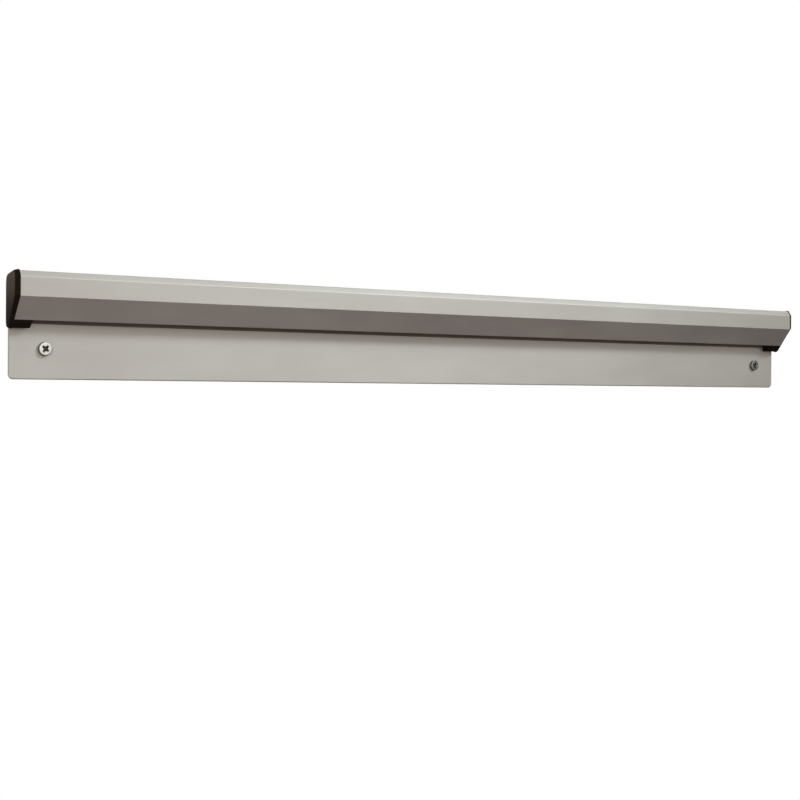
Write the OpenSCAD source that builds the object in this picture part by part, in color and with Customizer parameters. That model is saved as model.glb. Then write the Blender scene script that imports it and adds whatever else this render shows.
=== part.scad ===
// Order ticket rail for a wall: a hooded metal profile whose sloping lip carries loose balls.
// A ball that is pushed up the lip rolls back down and pinches against a rubber strip.
// X runs along the rail, Y into the wall and Z up. The origin is on the wall face, midway
// between the two screws. A cross-section is drawn in Y and Z, with the wall at Y = 0.

/* [Rail] */
// Length of the metal profile
rail_l = 610; // [300:10:1200]
// Height from the plate's bottom edge to the hood's top front edge
rail_h = 58.8; // [56:0.2:70]
// Depth from the wall to the front of the fascia
rail_d = 19.3; // [18.6:0.1:22]
// Thickness of the metal
wall_t = 1.2; // [0.8:0.1:1.5]
// Height of the plate that shows below the lip
show_h = 32.2; // [24:0.1:33]
// Radius of the plate's two bottom corners
corner_r = 2.8; // [1:0.1:6]
// Rounding of the plate's bottom front edge
edge_r = 0.7; // [0.1:0.1:0.7]

/* [Hood] */
// Height of the sloping lip
lip_h = 12.5; // [11.5:0.1:14]
// Distance from the plate's face to the lip's lower front corner
mouth_w = 8.8; // [8:0.1:9.2]
// Height of the bevel along the top of the fascia
bevel_h = 3.4; // [2.4:0.1:5]
// Depth of that bevel
bevel_d = 2.3; // [0.8:0.1:3]
// How far the top falls from its front edge to the wall
top_fall = 2.2; // [0:0.1:2.6]
// Outer radius of the bend between the plate and the top
bend_r = 2.8; // [1.8:0.1:4]
// Outer radius of the bends at the top and the bottom of the bevel
crease_r = 1.6; // [0.4:0.1:2]
// Outer radius of the bend between the fascia and the lip
fold_r = 0.5; // [0.2:0.1:1.5]
// Rounding of the lip's free edge
lip_edge_r = 0.3; // [0.1:0.05:0.35]

/* [Grip strip] */
// Thickness of the rubber strip
strip_t = 0.8; // [0.4:0.1:1.2]
// Height of the rubber strip
strip_h = 19; // [17:0.5:21]
// How far the strip shows below the lip
strip_show = 1.6; // [0.5:0.1:4]
// Gap between each end of the strip and the plug beside it
strip_end_gap = 0.2; // [0.1:0.1:1]

/* [Balls] */
// Diameter of a ball
ball_d = 11; // [10:0.1:11.6]
// Least distance between the centres of two balls at rest
ball_pitch = 24; // [20:0.5:60]
// Clearance between a resting ball and the strip and lip beside it
ball_gap = 0.2; // [0.1:0.05:0.3]

/* [End caps] */
// Thickness of the flange at its front
cap_front_t = 2.8; // [2:0.1:3.4]
// Thickness of the flange at the wall
cap_back_t = 1.3; // [0.9:0.1:2]
// How far the flange stands out above the top and the bevel
cap_proud = 0.5; // [0.2:0.1:1]
// How far the flange stands out in front of the fascia
cap_front_proud = 0.3; // [0:0.1:0.8]
// Thickness that is left at the flange's edge
cap_rim_t = 0.4; // [0.2:0.1:0.8]
// Width of the slope along the front of the flange
cap_slope_w = 1.5; // [0.8:0.1:2.2]
// Width of the softened edge along the other sides of the flange
cap_soft_w = 0.5; // [0.2:0.1:0.8]
// Radius of the flange's upper corner at the wall
cap_corner_r = 5; // [2:0.1:5.2]
// Radius of the flange's lower corner at the wall
cap_low_r = 4.8; // [1:0.1:4.8]
// Radius of the flange's lower front corner
cap_nose_r = 3.3; // [0.5:0.1:3.4]
// Radius of the flange's upper front corners
cap_brow_r = 1.6; // [0.3:0.1:2]
// Length of the plug inside the channel
plug_l = 12; // [6:0.5:16]
// Wall of the hollow plug
plug_wall = 1.6; // [1:0.1:2]
// Clearance between the cap and the metal that it fits
cap_gap = 0.15; // [0.05:0.05:0.3]
// Height of the foot below the lip
foot_h = 4.1; // [2:0.1:5.5]
// How much shorter the foot is than the plug
foot_short = 1.4; // [0:0.1:3]
// How far the flange hangs below the foot
foot_step = 0.5; // [0:0.1:1]
// Radius of the foot's lower front corner
foot_nose_r = 0.8; // [0.2:0.1:0.9]
// How much shorter the foot is at its bottom than at its top
foot_rake = 0.7; // [0:0.1:2]

/* [Screws] */
// Distance from each end of the metal to a screw's centre
screw_inset = 20.5; // [10:0.5:60]
// Height of the screws above the plate's bottom edge
screw_h = 17; // [9:0.1:20]
// Diameter of the smooth shank behind the plate
screw_d = 4; // [3:0.1:5]
// Diameter of the neck that passes through the plate
neck_d = 4.4; // [3.4:0.1:5.4]
// Clearance around the neck in its hole
hole_gap = 0.3; // [0.1:0.1:0.8]
// Length from the underside of the head to the tip
screw_l = 30; // [20:1:50]
// Length of the smooth shank behind the wall face
shank_l = 7; // [4:0.5:10]
// Diameter at the root of the thread
thread_root_d = 2.8; // [1.8:0.1:3]
// Distance between two turns of the thread
thread_pitch = 1.8; // [1.2:0.1:2.4]
// Length of the tapered tip
tip_l = 5; // [3:0.5:8]
// Diameter of the head
head_d = 7.7; // [6:0.1:10]
// Height of the head
head_h = 2; // [1.6:0.1:3]
// Rounding of the head's front edge
head_edge_r = 0.4; // [0.2:0.1:1]
// Width across the cross recess
recess_w = 4.3; // [3:0.1:4.6]
// Width of one arm of the recess
recess_arm_w = 1.3; // [0.6:0.1:1.5]
// Diameter of the recess's middle
recess_core_d = 2.6; // [1.6:0.1:2.9]
// Depth of the recess
recess_deep = 1.5; // [1:0.1:1.6]
// Angle that the left screw was left at
left_turn = 40; // [0:5:90]
// Angle that the right screw was left at
right_turn = 12; // [0:1:90]

/* [Hidden] */
// Straight pieces in each rounded corner of an outline
corner_steps = 6;
// Radius of a corner that stays sharp
sharp_r = 0.1;
// Least radius inside a bend
inside_r = 0.2;
// Thickness of the flange's outer face, from which its slopes start
skin = 0.01;
// How far a cutting shape runs past the surface that it cuts
past = 1;
// How far pieces of one moulding are sunk into each other
sunk = 0.2;
// Share of the recess's width that is left at its bottom
recess_taper = 0.35;
// Share of a thread turn that is its root
thread_root_share = 0.3;
// How far the thread's crest stays inside the shank's radius
thread_crest_drop = 0.02;
// Shares of the flange's bottom width that its two rounded corners may take
low_share = 0.74;
nose_share = 0.5;
$fn = 64;

metal_colour = [0.74, 0.73, 0.70];
cap_colour = [0.14, 0.125, 0.12];
rubber_colour = [0.16, 0.13, 0.12];
glass_colour = [0.60, 0.72, 0.68];
zinc_colour = [0.86, 0.85, 0.82];

// Heights of the cross-section, from the screws' centres
z_bottom = -screw_h;
z_lip = z_bottom + show_h;
z_fold = z_lip + lip_h;
z_top = z_bottom + rail_h;
z_crease = z_top - bevel_h;
z_back = z_top - top_fall;
z_foot = z_lip - foot_h;
z_flange = z_foot - foot_step;

// Depths of the cross-section, from the wall
y_plate = -wall_t;
y_front = -rail_d;
y_strip = y_plate - strip_t;

// Outer corners of the profile: plate's foot, plate's head, then round the hood to the lip
back_low = [0, z_bottom];
back_high = [0, z_back];
top_front = [y_front + bevel_d, z_top];
crease = [y_front, z_crease];
fold = [y_front, z_fold];
lip_tip = [y_plate - mouth_w, z_lip];

outer_path = [back_low, back_high, top_front, crease, fold, lip_tip];
// Each straight stretch of the profile moves in by the metal's thickness
inner_path = shifted(outer_path, [for (i = [1:len(outer_path)]) -wall_t]);
lip_out = side(fold, lip_tip);
lip_inner_tip = lip_tip - wall_t * lip_out;

profile_corners = concat(
    outer_path,
    [lip_inner_tip, inner_path[4], inner_path[3], inner_path[2], inner_path[1], [y_plate, z_bottom]]
);
bend_inner_r = max(bend_r - wall_t, inside_r);
crease_inner_r = max(crease_r - wall_t, inside_r);
fold_inner_r = max(fold_r - wall_t, inside_r);
profile_radii = [
    sharp_r, bend_r, crease_r, crease_r, fold_r, lip_edge_r,
    lip_edge_r, fold_inner_r, crease_inner_r, crease_inner_r, bend_inner_r,
    min(edge_r, wall_t - 2 * sharp_r)
];

// Where the lip's outer and inner faces, carried on downwards, reach a given height
function lip_y(start, z) = start[0] + (start[1] - z) * (lip_tip[0] - fold[0]) / lip_h;

channel = [
    [y_plate, z_lip],
    inner_path[1],
    inner_path[2],
    inner_path[3],
    inner_path[4],
    [lip_y(inner_path[4], z_lip), z_lip]
];
channel_radii = [sharp_r, bend_inner_r, crease_inner_r, crease_inner_r, fold_inner_r, sharp_r];

// Balls: each touches the strip and the lip's inner face, but for its clearance
ball_reach = ball_d / 2 + ball_gap;
ball_y = y_strip - ball_reach;
ball_z = lip_inner_tip[1] + (lip_out[0] * (ball_y - lip_inner_tip[0]) + ball_reach) / -lip_out[1];
channel_l = rail_l - 2 * plug_l;
ball_count = floor(channel_l / ball_pitch);
ball_step = channel_l / ball_count;

screw_x = rail_l / 2 - screw_inset;

function ball_name(i) = str("ball_", i < 10 ? "0" : "", i);
function unit(v) = v / norm(v);
// Outward side of the edge from a to b, on an outline that runs anticlockwise
function side(a, b) = unit([b[1] - a[1], a[0] - b[0]]);

// An outline whose edge i, from corner i to the next, moves outwards by d[i]
function shifted(corners, d) = [
    for (i = [0:len(corners) - 1])
        let (
            n = len(corners),
            before = (i + n - 1) % n,
            n1 = side(corners[before], corners[i]),
            n2 = side(corners[i], corners[(i + 1) % n]),
            turn = n1[0] * n2[1] - n1[1] * n2[0],
            move_y = (d[before] * n2[1] - d[i] * n1[1]) / turn,
            move_z = (d[i] * n1[0] - d[before] * n2[0]) / turn
        )
        corners[i] + [move_y, move_z]
];

// The corner b between a and c as an arc of radius r
function arc_corner(a, b, c, r) =
    let (
        to_a = unit(a - b),
        to_c = unit(c - b),
        half = acos(to_a * to_c) / 2,
        centre = b + unit(to_a + to_c) * r / sin(half),
        start = b + to_a * r / tan(half) - centre,
        end = b + to_c * r / tan(half) - centre,
        from = atan2(start[1], start[0]),
        sweep = (atan2(end[1], end[0]) - from + 540) % 360 - 180
    )
    [
        for (k = [0:corner_steps])
            let (angle = from + sweep * k / corner_steps)
            centre + r * [cos(angle), sin(angle)]
    ];

function rounded(corners, radii) = [
    for (i = [0:len(corners) - 1])
        let (n = len(corners))
        each arc_corner(corners[(i + n - 1) % n], corners[i], corners[(i + 1) % n], radii[i])
];

// Draws a cross-section from one X to another
module section(from, to, outline) {
    translate([from, 0, 0])
        rotate([90, 0, 90])
            linear_extrude(to - from)
                polygon(outline);
}

module rail_body() {
    color(metal_colour)
        difference() {
            section(-rail_l / 2, rail_l / 2, rounded(profile_corners, profile_radii));
            for (end = [-1, 1]) {
                plate_corner_cut(end);
                translate([end * screw_x, past, 0])
                    rotate([90, 0, 0])
                        cylinder(d = neck_d + 2 * hole_gap, h = wall_t + 2 * past);
            }
        }
}

// What is cut off one bottom corner of the plate
module plate_corner_cut(end) {
    translate([end * (rail_l / 2 - corner_r), past, z_bottom + corner_r])
        rotate([90, 0, 0])
            linear_extrude(wall_t + 2 * past)
                difference() {
                    translate([end > 0 ? 0 : -corner_r - past, -corner_r - past])
                        square([corner_r + past, corner_r + past]);
                    circle(corner_r);
                }
}

module grip_strip() {
    half_l = rail_l / 2 - plug_l - strip_end_gap;
    color(rubber_colour)
        translate([-half_l, y_strip, z_lip - strip_show])
            cube([2 * half_l, strip_t, strip_h]);
}

// The left cap, with the end of the metal at X = 0 and the channel towards +X
module cap_shape() {
    edge_outline = shifted(
        [[0, z_flange], back_high, top_front, crease, fold, [lip_y(fold, z_flange), z_flange]],
        [0, cap_proud, cap_proud, cap_front_proud, 0, 0]
    );
    face_outline = shifted(
        edge_outline,
        [-cap_soft_w, -cap_soft_w, -cap_slope_w, -cap_slope_w, -cap_slope_w, -cap_soft_w]
    );
    color(cap_colour) {
        hull() {
            section(-cap_rim_t, 0, rounded(edge_outline, flange_radii(edge_outline, 0, 0)));
            leaning_face()
                section(0, skin, rounded(face_outline, flange_radii(face_outline, cap_soft_w, cap_slope_w)));
        }
        cap_plug();
        cap_foot();
    }
}

// Leans a flat shape so that it lies further out at the front than at the wall
module leaning_face() {
    translate([-cap_back_t, 0, 0])
        rotate([0, 0, -atan((cap_front_t - cap_back_t) / rail_d)])
            children();
}

// Radii of an outline of the flange that lies inside its edge, by one width at the wall and one at the front
function flange_radii(outline, inside, inside_front) =
    let (
        bottom_w = outline[0][0] - outline[5][0],
        low = min(cap_low_r - inside, low_share * bottom_w),
        brow = max(cap_brow_r - inside_front, inside_r),
        nose = min(cap_nose_r, nose_share * bottom_w)
    )
    [low, cap_corner_r - inside, brow, brow, brow, nose];

// A hollow plug that fills the channel, open at its inner end
module cap_plug() {
    outline = shifted(channel, [-cap_gap, -cap_gap, -cap_gap, -cap_gap, -cap_gap, 0]);
    difference() {
        section(-sunk, plug_l, rounded(outline, channel_radii));
        section(0, plug_l + past, shifted(channel, [for (corner = channel) -cap_gap - plug_wall]));
    }
}

module cap_foot() {
    foot_l = plug_l - foot_short;
    outline = shifted(
        [[y_plate, z_foot], [y_plate, z_lip], lip_tip, [lip_y(lip_tip, z_foot), z_foot]],
        [-cap_gap, 0, 0, 0]
    );
    difference() {
        section(-sunk, foot_l, rounded(outline, [sharp_r, sharp_r, sharp_r, foot_nose_r]));
        translate([foot_l, 0, z_lip])
            rotate([0, atan(foot_rake / foot_h), 0])
                translate([0, -rail_d, -2 * foot_h])
                    cube([foot_h, rail_d, 2 * foot_h]);
    }
}

module end_cap_left() {
    translate([-rail_l / 2, 0, 0])
        cap_shape();
}

module end_cap_right() {
    mirror([1, 0, 0])
        end_cap_left();
}

// A pan-head screw with its axis at X = 0, turned by an angle about it
module screw_shape(turn) {
    thread_start = wall_t + shank_l;
    thread_end = screw_l - tip_l;
    turns = floor((thread_end - thread_start - sunk) / thread_pitch);
    root_r = thread_root_d / 2;
    crest_r = screw_d / 2 - thread_crest_drop;
    head_outline = concat(
        [[0, 0], [head_d / 2, 0]],
        arc_corner([head_d / 2, 0], [head_d / 2, head_h], [0, head_h], head_edge_r),
        [[0, head_h]]
    );
    thread_outline = concat(
        [[0, 0], [root_r, 0]],
        [for (k = [0:turns - 1]) each thread_turn(k * thread_pitch, root_r, crest_r)],
        [[root_r, thread_end - thread_start], [0, screw_l - thread_start]]
    );
    color(zinc_colour)
        translate([0, y_plate, 0])
            rotate([90, turn, 0]) {
                difference() {
                    rotate_extrude()
                        polygon(head_outline);
                    recess();
                }
                mirror([0, 0, 1]) {
                    translate([0, 0, -sunk])
                        cylinder(d = neck_d, h = wall_t + sunk);
                    cylinder(d = screw_d, h = thread_start);
                    translate([0, 0, thread_start])
                        rotate_extrude()
                            polygon(thread_outline);
                }
            }
}

// One turn of the thread, drawn as a ring with a sharp crest
function thread_turn(from, root_r, crest_r) = [
    [root_r, from + thread_root_share * thread_pitch],
    [crest_r, from + (1 + thread_root_share) / 2 * thread_pitch],
    [root_r, from + thread_pitch]
];

module recess() {
    core_r = recess_core_d / 2;
    spread = (1 - recess_taper) / recess_deep;
    translate([0, 0, head_h - recess_deep])
        cylinder(r1 = core_r * recess_taper, r2 = core_r * (1 + past * spread), h = recess_deep + past);
    for (arm = [0, 90])
        rotate([90, 0, arm])
            linear_extrude(recess_arm_w, center = true)
                polygon([
                    [-recess_w / 2, head_h],
                    [-recess_w / 2 * recess_taper, head_h - recess_deep],
                    [recess_w / 2 * recess_taper, head_h - recess_deep],
                    [recess_w / 2, head_h],
                    [recess_w / 2, head_h + past],
                    [-recess_w / 2, head_h + past]
                ]);
}

module screw_left() {
    translate([-screw_x, 0, 0])
        screw_shape(left_turn);
}

module screw_right() {
    translate([screw_x, 0, 0])
        screw_shape(right_turn);
}

module ball(i) {
    color(glass_colour)
        translate([(i - (ball_count + 1) / 2) * ball_step, ball_y, ball_z])
            sphere(d = ball_d);
}

rail_body();
grip_strip();
end_cap_left();
end_cap_right();
screw_left();
screw_right();
for (i = [1:ball_count]) ball(i);
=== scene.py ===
import math

import bmesh
import bpy
from mathutils import Matrix, Vector


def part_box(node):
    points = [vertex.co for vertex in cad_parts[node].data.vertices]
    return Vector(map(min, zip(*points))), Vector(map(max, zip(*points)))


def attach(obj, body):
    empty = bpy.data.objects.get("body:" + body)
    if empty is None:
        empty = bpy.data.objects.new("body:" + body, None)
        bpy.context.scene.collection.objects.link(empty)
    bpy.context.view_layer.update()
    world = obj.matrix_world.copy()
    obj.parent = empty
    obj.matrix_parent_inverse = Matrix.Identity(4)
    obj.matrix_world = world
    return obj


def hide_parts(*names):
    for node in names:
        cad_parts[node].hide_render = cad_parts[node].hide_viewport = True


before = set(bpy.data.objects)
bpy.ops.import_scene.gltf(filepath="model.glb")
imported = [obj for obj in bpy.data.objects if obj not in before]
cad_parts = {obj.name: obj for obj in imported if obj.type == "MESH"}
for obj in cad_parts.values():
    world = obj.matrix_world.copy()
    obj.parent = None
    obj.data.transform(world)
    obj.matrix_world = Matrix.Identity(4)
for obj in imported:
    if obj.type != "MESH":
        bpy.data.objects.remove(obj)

# Order ticket rail: satin aluminium profile, black end caps, rubber strip, screws and glass balls.
# Lengths in the dictionaries are millimetres, and become metres where a mesh is made.

mm = 0.001

for stray in ("Cube", "Light", "Camera"):
    if stray in bpy.data.objects:
        bpy.data.objects.remove(bpy.data.objects[stray])

for plain in list(bpy.data.materials):
    bpy.data.materials.remove(plain)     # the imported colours, which the finishes below replace

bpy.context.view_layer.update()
print("frame loaded:", len(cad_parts), "nodes")


# Outlines are lists of (y, z) points that run anticlockwise, seen from the rail's right end

def unit(a, b):
    length = math.hypot(b[0] - a[0], b[1] - a[1])
    return ((b[0] - a[0]) / length, (b[1] - a[1]) / length)


def shiftEdges(corners, moves):
    # edge i, from corner i to the next one, moves outwards by moves[i]
    count = len(corners)
    shifted = []
    for i, (y, z) in enumerate(corners):
        along1 = unit(corners[i - 1], corners[i])
        along2 = unit(corners[i], corners[(i + 1) % count])
        out1, out2 = (along1[1], -along1[0]), (along2[1], -along2[0])
        move1, move2 = moves[i - 1], moves[i]
        turn = out1[0] * out2[1] - out1[1] * out2[0]
        shifted.append((y + (move1 * out2[1] - move2 * out1[1]) / turn,
                        z + (move2 * out1[0] - move1 * out2[0]) / turn))
    return shifted


def roundCorners(corners, radii, steps):
    points = []
    for i, corner in enumerate(corners):
        back = unit(corner, corners[i - 1])
        ahead = unit(corner, corners[(i + 1) % len(corners)])
        half = math.acos(back[0] * ahead[0] + back[1] * ahead[1]) / 2
        mid = unit((0, 0), (back[0] + ahead[0], back[1] + ahead[1]))
        reach, leg = radii[i] / math.sin(half), radii[i] / math.tan(half)
        centre = (corner[0] + mid[0] * reach, corner[1] + mid[1] * reach)
        first = math.atan2(corner[1] + back[1] * leg - centre[1], corner[0] + back[0] * leg - centre[0])
        last = math.atan2(corner[1] + ahead[1] * leg - centre[1], corner[0] + ahead[0] * leg - centre[0])
        sweep = (last - first + math.pi) % (2 * math.pi) - math.pi
        for k in range(steps + 1):
            angle = first + sweep * k / steps
            points.append((centre[0] + radii[i] * math.cos(angle), centre[1] + radii[i] * math.sin(angle)))
    return points


# Meshes

def makePiece(name, points, faces):
    mesh = bpy.data.meshes.new(name)
    mesh.from_pydata([tuple(value * mm for value in point) for point in points], [], faces)
    shape = bmesh.new()
    shape.from_mesh(mesh)
    bmesh.ops.recalc_face_normals(shape, faces=shape.faces)
    shape.to_mesh(mesh)
    shape.free()
    piece = bpy.data.objects.new(name, mesh)
    bpy.context.scene.collection.objects.link(piece)
    return piece


def loft(name, loops):
    # a closed skin over loops that have the same number of points
    count = len(loops[0])
    points = [point for loop in loops for point in loop]
    faces = [tuple(range(count)), tuple(range(len(points) - count, len(points)))]
    for start in range(0, len(points) - count, count):
        for k in range(count):
            after = (k + 1) % count
            faces.append((start + k, start + after, start + count + after, start + count + k))
    return makePiece(name, points, faces)


def section(x, outline):
    return [(x, y, z) for y, z in outline]


def lathe(name, outline, sides):
    # turns (radius, z) points about Z; the first and last points lie on the axis
    ring = [(radius, z) for radius, z in outline[1:-1]]
    points = [(0, 0, outline[0][1]), (0, 0, outline[-1][1])]
    for k in range(sides):
        angle = 2 * math.pi * k / sides
        points += [(radius * math.cos(angle), radius * math.sin(angle), z) for radius, z in ring]
    faces = []
    for k in range(sides):
        here, there = 2 + k * len(ring), 2 + (k + 1) % sides * len(ring)
        faces.append((0, here, there))
        faces.append((1, there + len(ring) - 1, here + len(ring) - 1))
        faces += [(here + i, here + i + 1, there + i + 1, there + i) for i in range(len(ring) - 1)]
    return makePiece(name, points, faces)


def settle(piece):
    # keeps what the modifiers made of the mesh
    bpy.context.view_layer.update()
    before = piece.data
    piece.data = bpy.data.meshes.new_from_object(piece.evaluated_get(bpy.context.evaluated_depsgraph_get()))
    piece.modifiers.clear()
    bpy.data.meshes.remove(before)


def combine(piece, other, operation):
    joint = piece.modifiers.new("combine", "BOOLEAN")
    joint.operation, joint.solver, joint.object = operation, "EXACT", other
    settle(piece)
    bpy.data.objects.remove(other)


def smooth(piece, degrees):
    # rounds shade smoothly, and flats stay flat up to their edges
    piece.data.shade_smooth()
    piece.data.set_sharp_from_angle(angle=math.radians(degrees))
    weigh = piece.modifiers.new("weigh", "WEIGHTED_NORMAL")
    weigh.keep_sharp, weigh.weight = True, 50
    settle(piece)


def dress(piece, node, finish, body="rail"):
    piece.data.materials.clear()
    piece.data.materials.append(finish)
    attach(piece, body)
    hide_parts(node)


# Materials

class Wire:
    # a socket's output, which sums and products turn into Math nodes
    def __init__(self, board, socket):
        self.board, self.socket = board, socket

    def calc(self, operation, first, second):
        return self.board.node("ShaderNodeMath", {"operation": operation}, {0: first, 1: second})

    def __add__(self, other):
        return self.calc("ADD", self, other)

    def __radd__(self, other):
        return self.calc("ADD", other, self)

    def __sub__(self, other):
        return self.calc("SUBTRACT", self, other)

    def __rsub__(self, other):
        return self.calc("SUBTRACT", other, self)

    def __mul__(self, other):
        return self.calc("MULTIPLY", self, other)

    def __rmul__(self, other):
        return self.calc("MULTIPLY", other, self)

    def __pow__(self, other):
        return self.calc("POWER", self, other)

    def __abs__(self):
        return self.board.node("ShaderNodeMath", {"operation": "ABSOLUTE"}, {0: self})

    def out(self, name):
        return Wire(self.board, self.socket.node.outputs[name])


class Board:
    # the nodes of one material or world
    def __init__(self, owner):
        owner.use_nodes = True
        self.tree = owner.node_tree
        self.tree.nodes.clear()

    def node(self, kind, settings=None, values=None):
        made = self.tree.nodes.new(kind)
        for name, value in (settings or {}).items():
            setattr(made, name, value)
        for name, value in (values or {}).items():
            if isinstance(value, Wire):
                self.tree.links.new(value.socket, made.inputs[name])
            else:
                made.inputs[name].default_value = value
        return Wire(self, made.outputs[0] if made.outputs else None)

    def axis(self, vector, name):
        return self.node("ShaderNodeSeparateXYZ", {}, {0: vector}).out(name)

    def larger(self, first, second):
        return self.node("ShaderNodeMath", {"operation": "MAXIMUM"}, {0: first, 1: second})

    def place(self, stretch):
        # the point on the piece, in metres, times a stretch along each axis
        point = self.node("ShaderNodeTexCoord").out("Object")
        return self.node("ShaderNodeVectorMath", {"operation": "MULTIPLY"}, {0: point, 1: stretch})

    def noise(self, stretch, detail=2.0, rough=0.5):
        return self.node("ShaderNodeTexNoise", {}, {"Vector": self.place(stretch), "Scale": 1.0,
                                                    "Detail": detail, "Roughness": rough})

    def evenNoise(self, scale, detail=2.0, rough=0.5):
        return self.noise((scale,) * 3, detail, rough)

    def blend(self, amount, colour1, colour2):
        # sockets 6 and 7 take a Mix node's colours, and output 2 gives the mixed one
        return self.node("ShaderNodeMix", {"data_type": "RGBA", "blend_type": "MIX"},
                         {0: amount, 6: colour1, 7: colour2}).out(2)

    def ramp(self, value, low, high):
        # 0 at low, 1 at high, with a soft start and end
        return self.node("ShaderNodeMapRange", {"interpolation_type": "SMOOTHSTEP"},
                         {"Value": value, "From Min": low, "From Max": high})

    def bump(self, height, strength, depth):
        return self.node("ShaderNodeBump", {}, {"Height": height, "Strength": strength, "Distance": depth})

    def surface(self, values):
        shader = self.node("ShaderNodeBsdfPrincipled", {}, values)
        self.node("ShaderNodeOutputMaterial", {}, {"Surface": shader})


def newFinish(name):
    finish = bpy.data.materials.new(name)
    return finish, Board(finish)


aluminiumLook = dict(
    light=(0.668, 0.670, 0.640, 1), dark=(0.536, 0.524, 0.500, 1),
    roughness=0.67, roughnessSwing=0.10,
    streaks=(9, 2600, 2600), fineStreaks=(40, 9000, 9000), fineShare=0.4,
    clouds=(13, 42, 42), cloudFrom=0.3, cloudTo=0.7, cloudShare=0.4,
    bumpStrength=0.25, bumpDepth=0.02 * mm,
)


def satinAluminium():
    look = aluminiumLook
    finish, board = newFinish("satin_aluminium")
    streak = board.noise(look["streaks"], 3.0, 0.6)      # brushing runs along the rail
    fine = board.noise(look["fineStreaks"], 2.0)
    patch = board.noise(look["clouds"], 3.0)             # where the finish has dulled
    cloud = board.ramp(patch, look["cloudFrom"], look["cloudTo"])
    grain = streak * (1 - look["fineShare"]) + fine * look["fineShare"]
    shade = grain * (1 - look["cloudShare"]) + cloud * look["cloudShare"]
    board.surface({
        "Base Color": board.blend(shade, look["dark"], look["light"]),
        "Metallic": 1.0,
        "Roughness": look["roughness"] + look["roughnessSwing"] * (shade - 0.5),
        "Normal": board.bump(grain, look["bumpStrength"], look["bumpDepth"]),
    })
    return finish


plasticLook = dict(
    # dust is the colour of a painted sheen, lighter towards the top of the end faces
    deep=(0.0094, 0.0064, 0.0045, 1), worn=(0.0215, 0.0154, 0.0115, 1), dust=(0.110, 0.079, 0.062, 1),
    sheenFrom=10, sheenTo=44, thinSheen=0.35, faceFrom=0.75, faceTo=0.95,
    roughness=0.50, roughnessSwing=0.14, lowRoughness=0.28, edgeRoughness=0.35, gloss=0.03,
    grain=2600, patches=90, bumpStrength=0.35, bumpDepth=0.03 * mm,
)


def blackPlastic():
    look = plasticLook
    finish, board = newFinish("black_plastic")
    grain = board.evenNoise(look["grain"], 3.0, 0.6)     # moulded texture
    patch = board.evenNoise(look["patches"], 3.0)
    height = board.axis(board.place((1 / mm,) * 3), "Z")
    sheenTop = board.ramp(height, look["sheenFrom"], look["sheenTo"])     # painted sheen: the end faces are painted lighter towards the top, where light falls
    sideways = abs(board.axis(board.node("ShaderNodeTexCoord").out("Normal"), "X"))
    outer = board.ramp(sideways, look["faceFrom"], look["faceTo"])     # the flat faces at the rail's ends
    worn = board.blend(patch, look["deep"], look["worn"])
    # dusty makes the painted sheen patchy
    dusty = look["thinSheen"] + (1 - look["thinSheen"]) * patch
    board.surface({
        "Base Color": board.blend(outer * sheenTop * dusty, worn, look["dust"]),
        "Roughness": look["roughness"] + look["roughnessSwing"] * (patch * 0.5 + grain * 0.5 - 0.5)
        + look["lowRoughness"] * (1.0 - sheenTop) + look["edgeRoughness"] * (1.0 - outer),
        "Specular IOR Level": look["gloss"],
        "Normal": board.bump(grain, look["bumpStrength"], look["bumpDepth"]),
    })
    return finish


rubberLook = dict(
    deep=(0.122, 0.093, 0.072, 1), dusty=(0.176, 0.141, 0.113, 1),
    roughness=0.78, roughnessSwing=0.1, grain=(1400, 2200, 2200), dust=(60, 260, 260),
    bumpStrength=0.5, bumpDepth=0.04 * mm,
)


def blackRubber():
    look = rubberLook
    finish, board = newFinish("black_rubber")
    grain = board.noise(look["grain"], 4.0, 0.65)
    dust = board.noise(look["dust"], 3.0)
    board.surface({
        "Base Color": board.blend(dust, look["deep"], look["dusty"]),
        "Roughness": look["roughness"] + look["roughnessSwing"] * (dust - 0.5),
        "Normal": board.bump(grain, look["bumpStrength"], look["bumpDepth"]),
    })
    return finish


zincLook = dict(
    light=(0.458, 0.480, 0.462, 1), dull=(0.365, 0.384, 0.368, 1), shadeColour=(0.075, 0.072, 0.062, 1),
    roughness=0.22, roughnessSwing=0.10, rimRoughness=0.34, rimShade=0.55, recessRoughness=0.4, recessDulls=0.7,
    sunkFrom=0.06, sunkTo=0.5, nearFrom=0.9, nearTo=1.2,     # where the recess is painted in shade
    soften=0.1, rimShadeFrom=0.3, rimShadeTo=0.03,                 # how the rim and its painted dark reflection fade in
    patches=700, pits=4200, bumpStrength=0.3, bumpDepth=0.02 * mm,
)


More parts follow.
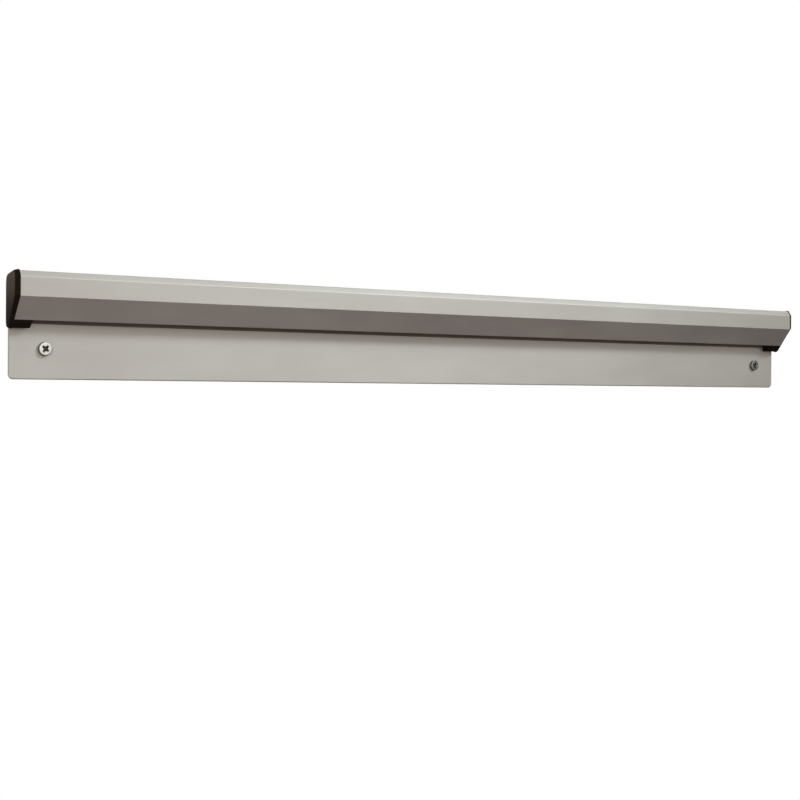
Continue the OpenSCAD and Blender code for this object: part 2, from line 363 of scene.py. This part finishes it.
def zincSteel():
    look = zincLook
    finish, board = newFinish("zinc_steel")
    patch = board.evenNoise(look["patches"], 4.0, 0.6)    # cloudy plating
    pit = board.evenNoise(look["pits"])
    point = board.place((1 / mm,) * 3)     # millimetres
    x, y, z = (board.axis(point, name) for name in "XYZ")
    aside = abs(x) - screwX                 # across the head, from the screw's axis
    radius = (aside * aside + z * z) ** 0.5
    face, edge = plateFront - screw["headHeight"], screw["head"] / 2
    # painted shade: the cross recess is painted dark and less metallic
    sunken = board.ramp(y, face + look["sunkFrom"], face + look["sunkTo"])
    sunken *= board.ramp(y, plateFront, plateFront - look["soften"])     # not behind the plate
    inside = sunken * board.ramp(radius, edge - look["nearFrom"], edge - look["nearTo"])
    rim = board.ramp(radius, edge - screw["headEdge"] - look["soften"], edge - look["soften"])
    plated = board.blend(patch, look["dull"], look["light"])
    # painted shade in the recess, and a painted dark reflection on the rim
    shadeMask = inside + look["rimShade"] * board.ramp(radius, edge - look["rimShadeFrom"], edge - look["rimShadeTo"])
    board.surface({
        "Base Color": board.blend(shadeMask, plated, look["shadeColour"]),
        "Metallic": 1.0 - look["recessDulls"] * inside,
        "Roughness": look["roughness"] + look["roughnessSwing"] * (patch - 0.5) + look["rimRoughness"] * rim
        + look["recessRoughness"] * inside,
        "Normal": board.bump(pit, look["bumpStrength"], look["bumpDepth"]),
    })
    return finish


glassLook = dict(tint=(0.74, 0.88, 0.83, 1), ior=1.5, roughness=0.03, scuffs=900, scuffRoughness=0.12)


def glassBall():
    look = glassLook
    finish, board = newFinish("glass_ball")
    scuff = board.evenNoise(look["scuffs"], 4.0, 0.7)
    board.surface({
        "Base Color": look["tint"],
        "Roughness": look["roughness"] + look["scuffRoughness"] * scuff ** 4.0,
        "IOR": look["ior"],
        "Transmission Weight": 1.0,
    })
    return finish


# Rail: one drawn profile, with its plate's corners rounded and two screw holes

railLow, railHigh = (Vector(corner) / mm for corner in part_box("rail_body"))
rail = dict(
    wall=1.2, height=58.8, shown=32.2,
    lip=12.5, mouth=8.8, bevelHeight=3.4, bevelDepth=2.3, topFall=2.2,
    sharp=0.1, bend=2.8, crease=1.6, fold=0.5, lipEdge=0.3, footEdge=0.7,
    corner=2.8, cornerSteps=10, endChamfer=0.15, arcSteps=6, smooth=25,
    leastInside=0.2, leastRadius=0.02,
)


def hoodPath(low):
    # outer corners, from the plate's foot at height low, up the wall side and round the hood to the lip
    top = railLow.z + rail["height"]
    lip = railLow.z + rail["shown"]
    front = railLow.y
    return [(0, low), (0, top - rail["topFall"]), (front + rail["bevelDepth"], top),
            (front, top - rail["bevelHeight"]), (front, lip + rail["lip"]),
            (-rail["wall"] - rail["mouth"], lip)]


outerPath = hoodPath(railLow.z)
innerPath = shiftEdges(outerPath, [-rail["wall"]] * 6)
plateFront, lipHeight = -rail["wall"], outerPath[5][1]
lipAlong = unit(outerPath[4], outerPath[5])
lipOut = (lipAlong[1], -lipAlong[0])
lipInner = (outerPath[5][0] - rail["wall"] * lipOut[0], outerPath[5][1] - rail["wall"] * lipOut[1])
bendInside, creaseInside, foldInside = (max(rail[name] - rail["wall"], rail["leastInside"])
                                        for name in ("bend", "crease", "fold"))


def profile(inset=0.0):
    corners = outerPath + [lipInner, *innerPath[4:0:-1], (plateFront, railLow.z)]
    outside = [rail[name] for name in ("sharp", "bend", "crease", "crease", "fold", "lipEdge", "lipEdge")]
    inside = [foldInside, creaseInside, creaseInside, bendInside, rail["footEdge"]]
    hollow = [False] * 7 + [True] * 4 + [False]
    radii = [radius + inset if cupped else max(radius - inset, rail["leastRadius"])
             for radius, cupped in zip(outside + inside, hollow)]
    return roundCorners(shiftEdges(corners, [-inset] * 12), radii, rail["arcSteps"])


def railStation(x, inset=0.0):
    # near an end the plate's foot rises along its rounded corner
    past = max(abs(x) - (railHigh.x - rail["corner"]), 0)
    rise = rail["corner"] - math.sqrt(max(rail["corner"] ** 2 - past ** 2, 0))
    foot = railLow.z + rail["corner"] / 2
    return [(x, y, z + rise if z < foot else z) for y, z in profile(inset)]


def makeRail():
    corner, steps = rail["corner"], rail["cornerSteps"]
    reach = [railHigh.x - corner * (1 - math.sin(math.pi / 2 * k / steps)) for k in range(steps + 1)]
    reach[-1] = railHigh.x - rail["endChamfer"]
    loops = [railStation(-railHigh.x, rail["endChamfer"])]
    loops += [railStation(-x) for x in reversed(reach)]
    loops += [railStation(x) for x in reach]
    loops.append(railStation(railHigh.x, rail["endChamfer"]))
    body = loft("rail_profile", loops)
    deep = screw["drillReach"]
    bore = [(0, -deep), (holeRadius, -deep), (holeRadius, deep), (0, deep)]
    for x in (-screwX, screwX):
        drill = lathe("drill", bore, screw["drillSides"])
        drill.matrix_world = Matrix.Translation((x * mm, 0, 0)) @ Matrix.Rotation(math.pi / 2, 4, "X")
        combine(body, drill, "DIFFERENCE")
    smooth(body, rail["smooth"])
    dress(body, "rail_body", aluminium)


screw = dict(
    inset=20.5, neck=4.4, holeGap=0.3, shank=4.0, length=30, smoothLength=7,
    root=2.8, pitch=1.8, tip=5, head=7.7, headHeight=2.0, headEdge=0.4,
    recess=4.7, arm=1.45, core=2.8, recessDepth=1.5, recessTaper=0.22, cutAbove=0.4,
    armBelow=0.8, armAbove=1.05, coreOverArm=1.45, bowSteps=5,
    flatRing=0.9, crownSteps=6, underEdge=0.1, runOut=0.6, point=0.14, pointRise=0.1,
    ridgeFoot=0.33, ridgeCrest=0.04, ridgeSunk=0.25, crestGap=0.02, startGap=0.2, endGap=0.7,
    growTurns=0.6, fadeTurns=0.4, fadeLeast=0.05, tipRidge=0.3, tipRoot=0.1,
    turns=dict(left=40, right=12), sides=48, drillSides=64, drillReach=5, smooth=30,
)
screwX = railHigh.x - screw["inset"]
holeRadius = screw["neck"] / 2 + screw["holeGap"]
aluminium = satinAluminium()
plastic = blackPlastic()
rubber = blackRubber()
zinc = zincSteel()
glass = glassBall()
print("finishes made")
makeRail()
print("rail made")


# Grip strip: a soft-edged rubber band on the plate, under the lip and up into the channel

stripLow, stripHigh = (Vector(corner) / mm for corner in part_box("grip_strip"))
strip = dict(edge=0.18, end=0.12, arcSteps=4, smooth=40)


def makeStrip():
    def outline(inset):
        corners = [(stripHigh.y, stripLow.z), (stripHigh.y, stripHigh.z), (stripLow.y, stripHigh.z),
                   (stripLow.y, stripLow.z)]
        return roundCorners(shiftEdges(corners, [-inset] * 4), [strip["edge"]] * 4, strip["arcSteps"])
    loops = [section(stripLow.x, outline(strip["end"])), section(stripLow.x + strip["end"], outline(0)),
             section(stripHigh.x - strip["end"], outline(0)), section(stripHigh.x, outline(strip["end"]))]
    band = loft("rubber_grip_strip", loops)
    smooth(band, strip["smooth"])
    dress(band, "grip_strip", rubber)


makeStrip()
print("strip made")


# End caps: a flange that is thicker at the front, a hollow plug in the channel and a foot under the lip

cap = dict(
    front=2.8, back=1.3, proud=0.5, frontProud=0.3, rim=0.4, slope=1.5, soft=0.5,
    corner=5, low=4.8, lowShare=0.74, nose=3.3, noseShare=0.5, brow=1.6, leastBrow=0.2,
    plug=12, plugWall=1.6, gap=0.15, sunk=0.2,
    foot=4.1, footShort=1.4, step=0.5, footNose=0.8, footRake=0.7, arcSteps=10, smooth=28,
)
flangeZ = lipHeight - cap["foot"] - cap["step"]
footZ = lipHeight - cap["foot"]


def lipY(start, z):
    # where the lip's face, carried on from a point of it, reaches a height
    return start[0] + (start[1] - z) * (outerPath[5][0] - outerPath[4][0]) / rail["lip"]


def flangeOutline(share):
    # share 0 is the flange's outer edge, and 1 is its flat face
    corners = hoodPath(flangeZ)
    corners[5] = (lipY(outerPath[4], flangeZ), flangeZ)
    soft, slope = cap["soft"] * share, cap["slope"] * share
    corners = shiftEdges(corners, [-soft, cap["proud"] - soft, cap["proud"] - slope,
                                   cap["frontProud"] - slope, -slope, -soft])
    width = corners[0][0] - corners[5][0]
    brow = max(cap["brow"] - slope, cap["leastBrow"])
    radii = [min(cap["low"] - soft, cap["lowShare"] * width), cap["corner"] - soft, brow, brow, brow,
             min(cap["nose"], cap["noseShare"] * width)]
    return roundCorners(corners, radii, cap["arcSteps"])


def flangeLoop(end, sign, height, share):
    # height 0 is the metal's end, 1 is the rim, and 2 is the leaning face
    loop = []
    for y, z in flangeOutline(share):
        face = cap["back"] + (cap["front"] - cap["back"]) * y / railLow.y
        depth = cap["rim"] * min(height, 1) + (face - cap["rim"]) * max(height - 1, 0)
        loop.append((end + sign * depth, y, z))
    return loop


def makeCap(side, sign):
    end = sign * railHigh.x
    # height and share of each loop, from the metal's end to the leaning face
    levels = [(0, 0), (0.8, 0), (1.02, 0.03), (1.12, 0.13), (1.86, 0.84), (1.97, 0.94), (2, 1)]
    body = loft("end_cap_" + side + "_moulding",
                [flangeLoop(end, sign, height, share) for height, share in levels])
    channel = [(plateFront, lipHeight), *innerPath[1:5], (lipY(innerPath[4], lipHeight), lipHeight)]
    radii = [rail["sharp"], bendInside, creaseInside, creaseInside, foldInside, rail["sharp"]]
    gap = -cap["gap"]
    outer = roundCorners(shiftEdges(channel, [gap] * 5 + [0]), radii, cap["arcSteps"])
    inner = shiftEdges(channel, [gap - cap["plugWall"]] * 6)
    plug = loft("plug", [section(end + sign * cap["sunk"], outer), section(end - sign * cap["plug"], outer)])
    hollow = loft("hollow", [section(end, inner), section(end - sign * (cap["plug"] + 1), inner)])
    combine(plug, hollow, "DIFFERENCE")
    lowLip = (lipY(outerPath[5], footZ), footZ)
    footCorners = [(plateFront, footZ), (plateFront, lipHeight), outerPath[5], lowLip]
    footCorners = shiftEdges(footCorners, [gap, 0, 0, 0])
    footOutline = roundCorners(footCorners, [rail["sharp"]] * 3 + [cap["footNose"]], cap["arcSteps"])
    reach, rake = cap["plug"] - cap["footShort"], cap["footRake"]
    raked = [(end - sign * (reach - rake * (lipHeight - z) / cap["foot"]), y, z) for y, z in footOutline]
    foot = loft("foot", [section(end + sign * cap["sunk"], footOutline), raked])
    combine(body, plug, "UNION")
    combine(body, foot, "UNION")
    smooth(body, cap["smooth"])
    dress(body, "end_cap_" + side, plastic)


for side, sign in (("left", -1), ("right", 1)):
    makeCap(side, sign)
print("caps made")


# Screws: pan head with a cross recess, neck through the plate, plain shank and a helical thread

def recessCutter():
    # four arms round a cored middle, narrowing with depth
    def cross(z, share, arm):
        reach, flank, steps = screw["recess"] / 2 * share, arm / 2, screw["bowSteps"]
        core = max(screw["core"] / 2 * share, flank * screw["coreOverArm"])
        first = math.asin(flank / core)
        bow = [first + (math.pi / 2 - 2 * first) * k / steps for k in range(steps + 1)]
        quarter = [(reach, -flank), (reach, flank)]
        quarter += [(core * math.cos(angle), core * math.sin(angle)) for angle in bow]
        turned = []
        for k in range(4):
            across, up = round(math.cos(k * math.pi / 2)), round(math.sin(k * math.pi / 2))
            turned += [(x * across - y * up, x * up + y * across, z) for x, y in quarter]
        return turned

    top, depth, above = screw["headHeight"], screw["recessDepth"], screw["cutAbove"]
    taper, arm = screw["recessTaper"], screw["arm"]
    return loft("recess", [cross(top - depth, taper, arm * screw["armBelow"]), cross(top, 1, arm),
                           cross(top + above, 1 + above * (1 - taper) / depth, arm * screw["armAbove"])])


def threadRidge():
    # a closed ridge that climbs round the shank, sinks into it, and runs out at both ends
    sides, pitch, tip = screw["sides"], screw["pitch"], screw["tip"]
    begin = rail["wall"] + screw["smoothLength"] + screw["startGap"]
    last = screw["length"] - screw["endGap"]
    root, rise = screw["root"] / 2, (screw["shank"] - screw["root"]) / 2 - screw["crestGap"]
    foot, crest = screw["ridgeFoot"], screw["ridgeCrest"]     # shares of a turn, to each side
    sunk = -screw["ridgeSunk"]                                # a share of the rise
    tipRidge, tipRoot = screw["tipRidge"], screw["tipRoot"]
    count = int((last - begin) / pitch * sides)
    loops = []
    for k in range(count + 1):
        angle, depth = 2 * math.pi * k / sides, begin + pitch * k / sides
        taper = min(1, (screw["length"] - depth) / tip)
        fade = (count - k) / (sides * screw["fadeTurns"]) + screw["fadeLeast"]
        grow = min(1, k / (sides * screw["growTurns"]), fade) * (tipRidge + (1 - tipRidge) * taper)
        ridge = []
        for along, share in ((-foot, sunk), (-crest, 1), (crest, 1), (foot, sunk)):
            around = root * (tipRoot + (1 - tipRoot) * taper) + rise * share * grow
            ridge.append((around * math.cos(angle), around * math.sin(angle), -depth - along * pitch * grow))
        loops.append(ridge)
    return loft("thread", loops)


def makeScrew(side, sign):
    head, edge = screw["head"] / 2, screw["headEdge"]
    height, reach, steps = screw["headHeight"], screw["shank"] / 2, screw["crownSteps"]
    crown = [(head - edge + edge * math.cos(angle), height - edge + edge * math.sin(angle))
             for angle in (math.radians(90 * k / steps) for k in range(steps + 1))]
    neck, wall = screw["neck"] / 2, rail["wall"]
    begin = wall + screw["smoothLength"]
    under, root, length = screw["underEdge"], screw["root"] / 2, screw["length"]
    outline = [(0, height), (head - edge - screw["flatRing"], height), *reversed(crown), (head, under),
               (head - under, 0), (neck, 0), (neck, -wall), (reach, -wall),
               (reach, -begin + screw["runOut"]), (root, -begin), (root, -(length - screw["tip"])),
               (screw["point"], -length + screw["pointRise"]), (0, -length)]
    body = lathe("screw_" + side + "_pan_head", outline, screw["sides"])
    combine(body, recessCutter(), "DIFFERENCE")
    combine(body, threadRidge(), "UNION")
    smooth(body, screw["smooth"])
    turn = Matrix.Rotation(math.radians(screw["turns"][side]), 4, "Y") @ Matrix.Rotation(math.pi / 2, 4, "X")
    body.data.transform(Matrix.Translation((sign * screwX * mm, plateFront * mm, 0)) @ turn)
    dress(body, "screw_" + side, zinc)


for side, sign in (("left", -1), ("right", 1)):
    makeScrew(side, sign)
print("screws made")


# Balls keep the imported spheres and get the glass

ballNodes = [name for name in sorted(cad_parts) if name.startswith("ball_")]
for name in ballNodes:
    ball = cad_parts[name]
    ball.data.materials.clear()
    ball.data.materials.append(glass)
print("balls dressed:", len(ballNodes))


# Camera at the photograph's place

camera = dict(place=(-0.5884, -0.7899, -0.0219), yaw=34.54, pitch=-0.34, roll=-0.43, lens=66.86, sensor=36)


def makeCamera():
    lens = bpy.data.cameras.new("camera")
    lens.lens, lens.sensor_width = camera["lens"], camera["sensor"]
    lens.clip_start, lens.clip_end = 0.01, 100
    holder = bpy.data.objects.new("camera", lens)
    bpy.context.scene.collection.objects.link(holder)
    holder.matrix_world = (Matrix.Translation(camera["place"])
                           @ Matrix.Rotation(math.radians(-camera["yaw"]), 4, "Z")
                           @ Matrix.Rotation(math.radians(90 + camera["pitch"]), 4, "X")
                           @ Matrix.Rotation(math.radians(-camera["roll"]), 4, "Z"))
    bpy.context.scene.camera = holder


makeCamera()


# Studio: a soft key from the front right, a dim room with soft glows, white behind, and a pale floor

studio = dict(
    keyAzimuth=39, keyElevation=34, keyDistance=2.0, keySize=0.72, keyPower=112, keyCone=24, keyAim=-0.06,
    keyColour=(0.955, 1.02, 1.03),
    room=0.085, roomColour=(1.0, 0.93, 0.87, 1),
    screenAzimuth=15, screenElevation=3, screenTight=14, screen=2.25,
    sideAzimuth=-35, sideElevation=8, sideTight=5, side=1.1,
    ceilingAzimuth=-50, ceilingElevation=66, ceilingTight=8, ceiling=1.4,
    floorZ=-0.7, floorSize=16, floorColour=(0.72, 0.71, 0.70, 1), floorHaze=0.6, fadeFrom=0.7, fadeTo=1.5,
    floorBounce=(0.200, 0.150, 0.147, 1), floorDim=(0.02, 0.015, 0.014, 1), dimFrom=0.35, dimTo=1.05,
    floorLit=(0.57, 0.545, 0.525, 1), litFrom=-0.5, litTo=-1.15, floorBehind=0.6, backdropEdge=0.35,
)


def towardsLight(name):
    azimuth, elevation = math.radians(studio[name + "Azimuth"]), math.radians(studio[name + "Elevation"])
    return Vector((math.sin(azimuth) * math.cos(elevation), -math.cos(azimuth) * math.cos(elevation),
                   math.sin(elevation)))


def makeKey():
    towards = towardsLight("key")
    lamp = bpy.data.lights.new("key", "SPOT")
    lamp.shadow_soft_size = studio["keySize"] / 2
    lamp.spot_size, lamp.spot_blend = math.radians(studio["keyCone"]), 1.0
    lamp.energy, lamp.color = studio["keyPower"], studio["keyColour"]
    holder = bpy.data.objects.new("key", lamp)
    bpy.context.scene.collection.objects.link(holder)
    holder.location = towards * studio["keyDistance"] + Vector((studio["keyAim"], 0, 0))
    holder.rotation_mode = "QUATERNION"
    holder.rotation_quaternion = (-towards).to_track_quat("-Z", "Y")


def makeWorld():
    world = bpy.data.worlds.new("studio")
    bpy.context.scene.world = world
    board = Board(world)
    rays = board.node("ShaderNodeLightPath")
    seen = rays.out("Is Camera Ray")
    mirrored = board.larger(rays.out("Is Glossy Ray"), rays.out("Is Transmission Ray"))
    direction = board.node("ShaderNodeTexCoord").out("Generated")
    backdrop = board.ramp(board.axis(direction, "Y"), 0.0, studio["backdropEdge"])
    white = board.larger(seen, mirrored * backdrop)

    def glow(name):
        facing = board.node("ShaderNodeVectorMath", {"operation": "DOT_PRODUCT"},
                            {0: direction, 1: towardsLight(name)}).out("Value")
        return studio[name] * board.larger(facing, 0.0) ** studio[name + "Tight"]

    room = board.node("ShaderNodeBackground", {}, {"Color": studio["roomColour"],
                                                   "Strength": studio["room"] + glow("screen") + glow("side")
                                                   + glow("ceiling")})
    sheet = board.node("ShaderNodeBackground", {}, {"Color": (1, 1, 1, 1), "Strength": 1.0})
    mixed = board.node("ShaderNodeMixShader", {}, {0: white, 1: room, 2: sheet})
    board.node("ShaderNodeOutputWorld", {}, {"Surface": mixed})


def makeFloor():
    half, z = studio["floorSize"] / 2 / mm, studio["floorZ"] / mm
    corners = [(-half, -half, z), (half, -half, z), (half, half, z), (-half, half, z)]
    floor = makePiece("floor", corners, [(0, 1, 2, 3)])
    finish, board = newFinish("pale_floor")
    rays = board.node("ShaderNodeLightPath")
    mirrored = board.larger(rays.out("Is Glossy Ray"), rays.out("Is Transmission Ray"))
    point = board.node("ShaderNodeNewGeometry").out("Position")
    reach = board.node("ShaderNodeVectorMath", {"operation": "LENGTH"}, {0: point}).out("Value")
    far = board.ramp(reach, studio["fadeFrom"], studio["fadeTo"])
    behind = board.ramp(board.axis(point, "Y"), 0.0, studio["floorBehind"])
    seen = rays.out("Is Camera Ray") * (studio["floorHaze"] + (1.0 - studio["floorHaze"]) * far)
    white = board.larger(seen, mirrored * behind * far)
    # painted bounce light: for all rays but the camera's, the floor glows, dimmer to the right and lighter to
    # the left
    across = board.axis(point, "X")
    bounce = board.blend(board.ramp(across, studio["dimFrom"], studio["dimTo"]), studio["floorBounce"],
                         studio["floorDim"])
    bounce = board.blend(board.ramp(across, studio["litFrom"], studio["litTo"]), bounce, studio["floorLit"])
    matt = board.node("ShaderNodeBsdfDiffuse", {}, {"Color": studio["floorColour"]})
    dim = board.node("ShaderNodeEmission", {}, {"Color": bounce, "Strength": 1.0})
    plain = board.node("ShaderNodeMixShader", {}, {0: rays.out("Is Camera Ray"), 1: dim, 2: matt})
    glow = board.node("ShaderNodeEmission", {}, {"Color": (1, 1, 1, 1), "Strength": 1.0})
    mixed = board.node("ShaderNodeMixShader", {}, {0: white, 1: plain, 2: glow})
    board.node("ShaderNodeOutputMaterial", {}, {"Surface": mixed})
    floor.data.materials.append(finish)


makeKey()
makeWorld()
makeFloor()
bpy.context.scene.view_settings.view_transform = "Standard"
print("studio set")
